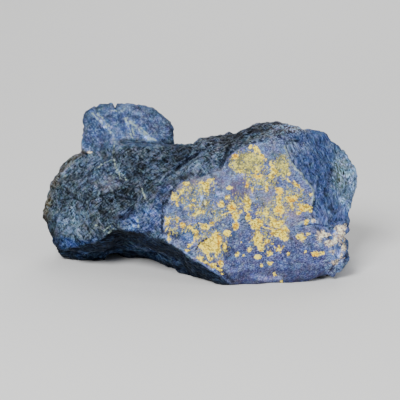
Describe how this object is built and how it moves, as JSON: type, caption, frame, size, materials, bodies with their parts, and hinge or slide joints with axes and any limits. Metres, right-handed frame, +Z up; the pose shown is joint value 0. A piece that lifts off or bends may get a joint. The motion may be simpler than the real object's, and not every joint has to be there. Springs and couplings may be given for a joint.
{
  "type": "lazulite hand specimen",
  "caption": "Broken lump of massive blue lazulite rock: a leaning front face with yellow patches, a knob on the left and an undercut below. Stands as a display specimen.",
  "frame": {"origin": "centre of the bounding box's base, on the surface the stone stands on", "axes": "+Z up, +X along the stone's long side with the knob at -X, -Y out of the leaning front face"},
  "size_m": [0.1218, 0.0662, 0.0603],
  "materials": {
    "lazulite": "dull, fibrous to granular broken rock"
  },
  "bodies": {
    "root": {"lazulite_stone": "lazulite"}
  },
  "joints": []
}
